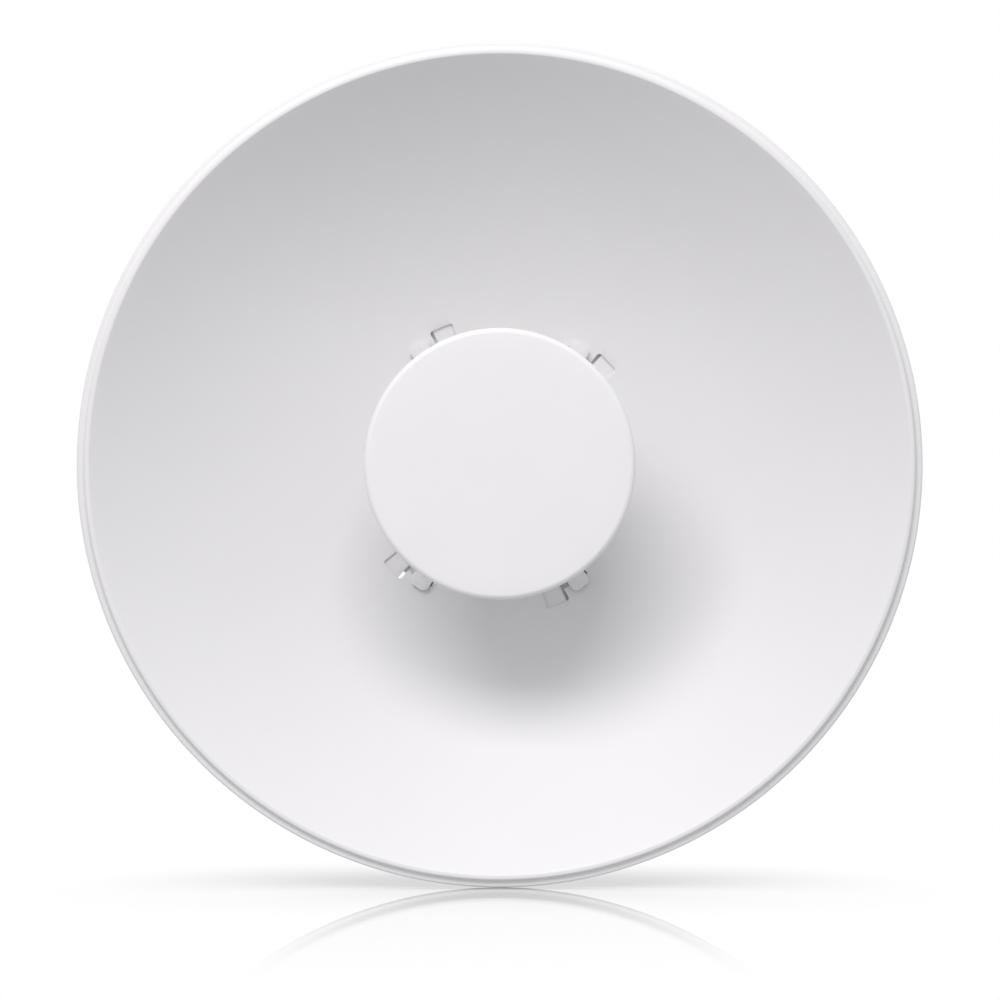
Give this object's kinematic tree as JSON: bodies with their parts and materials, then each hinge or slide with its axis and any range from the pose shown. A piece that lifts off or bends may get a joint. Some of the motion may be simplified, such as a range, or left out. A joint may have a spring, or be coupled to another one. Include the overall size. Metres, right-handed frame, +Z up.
{
  "type": "outdoor wireless bridge",
  "caption": "Centre-fed parabolic radio dish with a flat-fronted round feed, held by a twist-lock hub on a tilting pole clamp.",
  "frame": {"origin": "centre of the pole clamp, on the pole's axis, level with the reflector's axis", "axes": "+Z up along the pole; the reflector looks along -Y; +X is on the viewer's right from the front"},
  "size_m": [0.42, 0.2786, 0.42],
  "materials": {
    "dish_coat": "smooth matt white powder coat",
    "radome_white": "fine matt grain, white",
    "shell_white": "satin moulded white",
    "button_grey": "satin grey",
    "galvanised_steel": "zinc-plated sheet, satin",
    "fastener_zinc": "bright zinc plate",
    "tinned_steel": "tinned, satin",
    "spreader_aluminium": "plain, satin",
    "copper": "bare copper, satin",
    "circuit_board": "green solder mask",
    "chip_black": "moulded black",
    "black_rubber": "matt",
    "clear_plastic": "clear, polished"
  },
  "bodies": {
    "pole_mount": {"pole_bracket": "galvanised_steel", "clamp_bolts": "fastener_zinc"},
    "jaw": {"clamp_jaw": "galvanised_steel", "clamp_washers": "fastener_zinc", "clamp_nuts": "fastener_zinc"},
    "hub_assembly": {"hub": "shell_white", "rear_cover": "shell_white", "feed_cap": "radome_white", "feed_tube": "radome_white", "cap_seal": "black_rubber", "spigot_seal": "black_rubber", "sub_reflector": "spreader_aluminium", "radiator_board": "circuit_board", "dipole_radiator": "copper", "radio_board": "circuit_board", "radio_chips": "chip_black", "shield_can": "tinned_steel", "heat_spreader": "spreader_aluminium", "board_screws": "fastener_zinc", "end_cap": "black_rubber", "ethernet_jack": "tinned_steel", "reset_switch": "chip_black", "light_pipes": "clear_plastic", "release_spring": "fastener_zinc", "tilt_ears": "galvanised_steel", "bracket_screws": "fastener_zinc", "pivot_bolt": "fastener_zinc", "pivot_nut": "fastener_zinc", "lock_bolt": "fastener_zinc", "lock_nut": "fastener_zinc", "tilt_washers": "fastener_zinc"},
    "dish": {"dish_reflector": "dish_coat"},
    "release": {"release_button": "button_grey", "latch_yoke": "button_grey"},
    "reset": {"reset_button": "button_grey"},
    "cover": {"port_cover": "shell_white", "cable_grommet": "black_rubber"}
  },
  "joints": [
    {"name": "tilt", "type": "hinge", "parent": "pole_mount", "child": "hub_assembly", "pos_m": [0, -0.04565, 0], "axis": [1, 0, 0], "range_deg": [-20, 20]},
    {"name": "dish_twist", "type": "hinge", "parent": "hub_assembly", "child": "dish", "pos_m": [0, 0, 0], "axis": [0, -1, 0], "range_deg": [0, 11.4]},
    {"name": "jaw_slide", "type": "slide", "parent": "pole_mount", "child": "jaw", "axis": [0, 1, 0], "range_m": [-0.01, 0.012]},
    {"name": "release_press", "type": "slide", "parent": "hub_assembly", "child": "release", "axis": [0, 0, -1], "range_m": [0, 0.0022], "stiffness_N_per_m": 1500, "springref_m": -0.001, "deforming": ["release_spring"]},
    {"name": "reset_press", "type": "slide", "parent": "hub_assembly", "child": "reset", "axis": [0, 0, 1], "range_m": [0, 0.0005], "stiffness_N_per_m": 400, "springref_m": -0.001},
    {"name": "cover_slide", "type": "slide", "parent": "hub_assembly", "child": "cover", "axis": [0, 0, -1], "range_m": [0, 0.06]}
  ]
}
